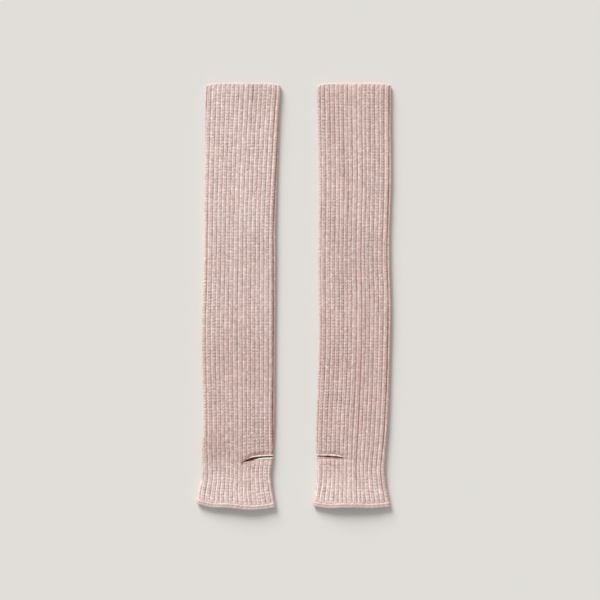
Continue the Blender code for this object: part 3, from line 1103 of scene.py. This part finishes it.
def heel_edge(leg, material):
    """The bound edge of the heel slit: a cord of stitches led round both lips of the opening."""
    start = SLOT_START + SLOT_END_HALF / RIB_PITCH
    end = SLOT_END - SLOT_END_HALF / RIB_PITCH
    run = np.linspace(start, end, round((end - start) * RIB_PITCH / CORD_STEP))
    turn = np.concatenate((run, run[::-1]))[:, None]
    lip = np.repeat((-1.0, 1.0), len(run))[:, None]
    gap, upper, lower = (column_through(leg.lips, "turn", name, turn) for name in ("gap", "upper", "lower"))
    opening = slot_half(turn)
    inner_side = np.minimum(gap / 2, opening * GAP_MOST)
    half_wide = (opening + CORD_LAP - inner_side) / 2
    down = lip * (inner_side + half_wide)
    along_turn = (np.roll(turn, -1) - np.roll(turn, 1)) * RIB_PITCH
    along_down = np.roll(down, -1) - np.roll(down, 1)
    length = np.hypot(along_turn, along_down)
    travelled = np.cumsum(length, axis=0) / 2
    angle = section_angles(CORD_SIDES)
    share = raised_share(turn)
    chain = (travelled / (RIB_PITCH / 2) + angle / (2 * np.pi)) % 1
    swell = 1 + CORD_SWELL * (lobe(chain) - LOBE_MEAN)
    proud = np.where(lip < 0, upper, lower)
    side = half_wide * np.sin(angle)
    height = CORD_HEIGHT * np.minimum(half_wide / CORD_FULL_HALF, 1)
    out = (CORD_RAISE + proud) * share - CORD_DEPTH + height * squared(np.cos(angle), CORD_SQUARE) * swell
    side_turn = turn - side * (along_down / length) / RIB_PITCH
    side_down = leg.slit_down + (down + side * (along_turn / length))
    grid = cloth_points(leg, leg.opens * side_turn, side_down, out)
    # Painted shade: the cord is paler where it stands proud and darker where it sinks, and its sides in the
    # gap and towards the tube's inside take the painted shade of the gap, on the lower lip only up to the
    # turn where its shade ends.
    relief = np.clip(CORD_TONE * (lobe(chain) + 1) + proud / CORD_TONE_HEIGHT, 0, 1)
    shaded_lips = np.where(lip < 0, 1, eased((leg.dark_lip - turn) / LIP_FADE))
    in_gap = np.clip(GAP_STEEP * np.sin(angle) - GAP_START, 0, 1) * shaded_lips
    inward = np.clip(-GAP_STEEP * np.cos(angle) - INWARD_START, 0, 1)
    for hidden in (in_gap, inward):
        relief = relief * (1 - hidden) - leg.gap_dark * hidden
    knit_step = (CORD_STEP / (RIB_PITCH / 2), 1 / CORD_SIDES)
    return closed_sweep(f"{leg.name}_heel_edge_cord", grid, relief, knit_step, material)


def math_node(tree, operation, *values):
    node = tree.nodes.new("ShaderNodeMath")
    node.operation = operation
    for socket, value in zip(node.inputs, values):
        if isinstance(value, (int, float)):
            socket.default_value = value
        else:
            tree.links.new(value, socket)
    return node.outputs[0]


def clamped(tree, value):
    return math_node(tree, "MINIMUM", math_node(tree, "MAXIMUM", value, 0.0), 1.0)


def mixed_colour(tree, factor, first, second):
    node = tree.nodes.new("ShaderNodeMix")
    node.data_type = "RGBA"
    tree.links.new(factor, node.inputs[0])
    for socket, value in ((node.inputs[6], first), (node.inputs[7], second)):
        if isinstance(value, bpy.types.NodeSocket):
            tree.links.new(value, socket)
        else:
            socket.default_value = (*value, 1)
    return node.outputs[2]


def noise(tree, vector, scale, detail, roughness=0.5):
    node = tree.nodes.new("ShaderNodeTexNoise")
    node.inputs["Scale"].default_value = scale
    node.inputs["Detail"].default_value = detail
    node.inputs["Roughness"].default_value = roughness
    tree.links.new(vector, node.inputs["Vector"])
    return node.outputs["Fac"]


def new_material(name):
    """A material, its node tree, its shader and the coordinates of the piece that it is on."""
    material = bpy.data.materials.new(name)
    material.use_nodes = True
    tree = material.node_tree
    coordinates = tree.nodes.new("ShaderNodeTexCoord").outputs["Object"]
    return material, tree, tree.nodes["Principled BSDF"], coordinates


def stitch_values(tree, turn, course):
    """A random value for each half rib of each course."""
    calc = partial(math_node, tree)
    cell = tree.nodes.new("ShaderNodeCombineXYZ")
    tree.links.new(calc("FLOOR", calc("MULTIPLY", turn, 2.0)), cell.inputs[0])
    tree.links.new(calc("FLOOR", course), cell.inputs[1])
    values = tree.nodes.new("ShaderNodeTexWhiteNoise")
    values.noise_dimensions = "2D"
    tree.links.new(cell.outputs[0], values.inputs["Vector"])
    return values.outputs[0]


def rungs(tree, across_rib, course, each_stitch):
    """Painted shade: what the tone is multiplied by where one stitch dives under the next, less on the lit
    left strand.
    """
    calc = partial(math_node, tree)
    join = calc("MULTIPLY_ADD", calc("FRACT", course), 2.0, -1.0)
    join = calc("POWER", calc("ABSOLUTE", join), RUNG_POWER)
    body = calc("MINIMUM", calc("MULTIPLY", across_rib, RUNG_LEFT_STEEP), 1.0)
    rung_shade = calc("MULTIPLY", join, calc("MULTIPLY_ADD", each_stitch, 1 - RUNG_EVEN, RUNG_EVEN))
    rung_shade = calc("MULTIPLY", rung_shade, calc("MULTIPLY", body, -bpy.context.scene.yarn_colours.rung_shade))
    return calc("ADD", rung_shade, 1.0)


def yarn_material(name, crest, pale, valley):
    """Soft spun yarn: paler on the crests, with painted shade in its valleys, rungs and slit and a painted
    highlight on each rib's left strand, flecked, with the plies of its strands and short fuzz.
    """
    colours = bpy.context.scene.yarn_colours
    material, tree, shader, coordinates = new_material(name)
    calc = partial(math_node, tree)
    relief_node = tree.nodes.new("ShaderNodeAttribute")
    relief_node.attribute_name = "relief"
    relief = relief_node.outputs["Fac"]
    knit_map = tree.nodes.new("ShaderNodeUVMap")
    knit_map.uv_map = "knit"
    split = tree.nodes.new("ShaderNodeSeparateXYZ")
    tree.links.new(knit_map.outputs[0], split.inputs[0])
    turn, course = split.outputs[0], split.outputs[1]
    across_rib = calc("FRACT", turn)

    beside = calc("ABSOLUTE", calc("SUBTRACT", across_rib, 0.5))
    ply = calc("MULTIPLY_ADD", course, PLY_TURNS, calc("MULTIPLY", beside, PLY_SLANT))
    ply = calc("MULTIPLY_ADD", noise(tree, coordinates, WOBBLE_GRAIN, 2), PLY_WOBBLE, ply)
    ply = calc("SINE", calc("MULTIPLY", ply, 2 * math.pi))
    fuzz = noise(tree, coordinates, FUZZ_GRAIN, 4, 0.65)
    fleck = noise(tree, coordinates, FLECK_GRAIN, 3, 0.6)
    blush = noise(tree, coordinates, BLUSH_GRAIN, 2)
    cloud = noise(tree, coordinates, CLOUD_GRAIN, 2)
    each_stitch = stitch_values(tree, turn, course)

    paler = clamped(tree, calc("SUBTRACT", calc("MULTIPLY", blush, BLUSH_STEEP), BLUSH_START))
    # Painted highlight on each rib's left strand, which faces the light, added to the paler fibres
    strand = calc("ABSOLUTE", calc("SUBTRACT", across_rib, HIGHLIGHT_STRAND))
    strand = calc("MAXIMUM", calc("MULTIPLY_ADD", strand, -HIGHLIGHT_STEEP, 1.0), 0.0)
    fleck_and_highlight_share = calc("MULTIPLY_ADD", strand, HIGHLIGHT_BY_STRAND, calc("MULTIPLY", paler, PALE_BY_BLUSH))
    yarn = mixed_colour(tree, calc("MINIMUM", fleck_and_highlight_share, 1.0), crest, pale)
    # Painted shade: the valley colour where the relief is low, and the hollow colour where it falls below
    # 0, in the slit and the darkest creases.
    base = mixed_colour(tree, calc("MAXIMUM", relief, 0.0), valley, yarn)
    hollow_shade = clamped(tree, calc("MULTIPLY", relief, -HOLLOW_STEEP))
    base = mixed_colour(tree, hollow_shade, base, tuple(colours.hollow_shade))

    evenness = 1.0 if name == "rib_yarn" else EDGE_EVENNESS
    heather = evenness * colours.heather
    varied = evenness * colours.stitch_tone
    tone = calc("MULTIPLY_ADD", fleck, 2 * heather, 1 - heather)
    tone = calc("ADD", tone, calc("MULTIPLY_ADD", cloud, CLOUD_TONE, -CLOUD_TONE / 2))
    tone = calc("ADD", tone, calc("MULTIPLY", ply, PLY_TONE))
    tone = calc("ADD", tone, calc("MULTIPLY_ADD", each_stitch, 2 * varied, -varied))
    if name == "rib_yarn":
        tone = calc("MULTIPLY", tone, rungs(tree, across_rib, course, each_stitch))
    bright = tree.nodes.new("ShaderNodeVectorMath")
    bright.operation = "SCALE"
    tree.links.new(base, bright.inputs[0])
    tree.links.new(tone, bright.inputs["Scale"])
    tree.links.new(bright.outputs[0], shader.inputs["Base Color"])

    bump = tree.nodes.new("ShaderNodeBump")
    bump.inputs["Strength"].default_value = 0.5
    bump.inputs["Distance"].default_value = 0.0003
    tree.links.new(calc("MULTIPLY_ADD", ply, PLY_BUMP, fuzz), bump.inputs["Height"])
    tree.links.new(bump.outputs[0], shader.inputs["Normal"])

    shader.inputs["Roughness"].default_value = 0.95
    shader.inputs["Specular IOR Level"].default_value = 0.15
    shader.inputs["Sheen Weight"].default_value = colours.nap
    shader.inputs["Sheen Roughness"].default_value = 0.6
    return material


def floor_material(studio):
    """Smooth pale board with a very faint grain."""
    material, tree, shader, coordinates = new_material("pale_floor")
    grain = noise(tree, coordinates, FLOOR_GRAIN, 3)
    tint = tuple(studio.floor)
    darker = tuple(part * GRAIN_SHADE for part in tint)
    tree.links.new(mixed_colour(tree, grain, darker, tint), shader.inputs["Base Color"])
    shader.inputs["Roughness"].default_value = 1
    shader.inputs["Specular IOR Level"].default_value = 0
    return material


def shared_material(name):
    """The material of this name, made the first time that it is asked for."""
    colours = bpy.context.scene.yarn_colours
    crests = {"rib_yarn": (colours.crest, colours.fleck), "edge_yarn": (colours.edge, colours.edge)}
    found = bpy.data.materials.get(name)
    return found or yarn_material(name, *(tuple(part) for part in (*crests[name], colours.valley)))


def dress_legs(make, yarn, node):
    """Make a piece for each leg, which rides on the body and stands for one of its solids."""
    for leg in LEGS:
        piece = make(leg, shared_material(yarn))
        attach(piece, "root")
        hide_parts(f"{leg.name}_{node}")


class KNITWEAR_OT_ribbed_legs(bpy.types.Operator):
    """Knit the two ribbed tubes, each with its heel slit"""

    bl_idname = "knitwear.ribbed_legs"
    bl_label = "Ribbed legs"

    def execute(self, context):
        dress_legs(knitted_tube, "rib_yarn", "leg")
        return {"FINISHED"}


class KNITWEAR_OT_cast_off_edges(bpy.types.Operator):
    """Knit the cast-off edges at the top"""

    bl_idname = "knitwear.cast_off_edges"
    bl_label = "Cast-off edges"

    def execute(self, context):
        dress_legs(cast_off_edge, "edge_yarn", "top_edge")
        return {"FINISHED"}


class KNITWEAR_OT_hem_welts(bpy.types.Operator):
    """Knit the welts at the foot end"""

    bl_idname = "knitwear.hem_welts"
    bl_label = "Hem welts"

    def execute(self, context):
        dress_legs(hem_welt, "edge_yarn", "hem_welt")
        return {"FINISHED"}


class KNITWEAR_OT_heel_edges(bpy.types.Operator):
    """Bind the edges of the heel slits"""

    bl_idname = "knitwear.heel_edges"
    bl_label = "Heel edges"

    def execute(self, context):
        dress_legs(heel_edge, "edge_yarn", "heel_edge")
        return {"FINISHED"}


class KNITWEAR_OT_declare_cloth(bpy.types.Operator):
    """Does nothing: no size is stated for the tubes"""

    bl_idname = "knitwear.declare_cloth"
    bl_label = "State the cloth"

    def execute(self, context):
        return {"FINISHED"}


class KNITWEAR_OT_stage(bpy.types.Operator):
    """Lay the floor and set the light and the camera"""

    bl_idname = "knitwear.stage"
    bl_label = "Stage"

    def execute(self, context):
        studio = context.scene.studio_settings
        bpy.ops.object.select_all(action="DESELECT")
        bpy.ops.mesh.primitive_plane_add(size=FLOOR_SIZE, location=(0, 0, -FLOOR_BELOW))
        floor = context.active_object
        floor.name = "floor"
        bpy.ops.object.transform_apply(location=True, rotation=True, scale=True)
        floor.data.materials.append(floor_material(studio))

        bpy.ops.object.light_add(type="SUN")
        key = context.active_object
        key.name = "key"
        key.data.energy = studio.key_strength
        key.data.angle = studio.key_spread
        key.rotation_euler = (-(math.pi / 2 - studio.key_elevation), 0, studio.key_heading)
        key.rotation_mode = "XYZ"

        world = context.scene.world or bpy.data.worlds.new("studio")
        context.scene.world = world
        world.use_nodes = True
        background = world.node_tree.nodes["Background"]
        background.inputs["Color"].default_value = (1, 1, 1, 1)
        background.inputs["Strength"].default_value = studio.fill_strength

        bpy.ops.object.camera_add()
        camera = context.active_object
        camera.name = "overhead_camera"
        camera.data.lens = studio.lens
        distance = studio.picture_width * studio.lens / camera.data.sensor_width
        camera.location = (studio.picture_right, -studio.picture_below, distance + CLOTH_TALL)
        camera.data.clip_end = 20
        context.scene.camera = camera
        context.scene.view_settings.view_transform = "Standard"
        return {"FINISHED"}


class KNITWEAR_PT_pieces(bpy.types.Panel):
    """Lists the pieces of the leg warmers"""

    bl_idname = "KNITWEAR_PT_pieces"
    bl_label = "Leg warmers"
    bl_space_type = "VIEW_3D"
    bl_region_type = "UI"
    bl_category = "Knitwear"

    def draw(self, context):
        for operator in OPERATORS:
            self.layout.operator(operator.bl_idname)
        for group in ("knit_sizes", "yarn_colours", "studio_settings"):
            box = self.layout.box()
            settings = getattr(context.scene, group)
            for name in settings.bl_rna.properties.keys():
                if name not in ("rna_type", "name"):
                    box.prop(settings, name)


OPERATORS = (
    KNITWEAR_OT_stage,
    KNITWEAR_OT_ribbed_legs,
    KNITWEAR_OT_cast_off_edges,
    KNITWEAR_OT_hem_welts,
    KNITWEAR_OT_heel_edges,
    KNITWEAR_OT_declare_cloth,
)
GROUPS = (KnitSizes, YarnColours, StudioSettings)


def register():
    for kind in GROUPS + OPERATORS + (KNITWEAR_PT_pieces,):
        bpy.utils.register_class(kind)
    bpy.types.Scene.knit_sizes = PointerProperty(type=KnitSizes)
    bpy.types.Scene.yarn_colours = PointerProperty(type=YarnColours)
    bpy.types.Scene.studio_settings = PointerProperty(type=StudioSettings)


def unregister():
    del bpy.types.Scene.studio_settings
    del bpy.types.Scene.yarn_colours
    del bpy.types.Scene.knit_sizes
    for kind in reversed(GROUPS + OPERATORS + (KNITWEAR_PT_pieces,)):
        bpy.utils.unregister_class(kind)


def main():
    register()
    bpy.ops.knitwear.stage()
    bpy.ops.knitwear.ribbed_legs()
    bpy.ops.knitwear.cast_off_edges()
    bpy.ops.knitwear.hem_welts()
    bpy.ops.knitwear.heel_edges()
    bpy.ops.knitwear.declare_cloth()


if __name__ == "__main__":
    main()
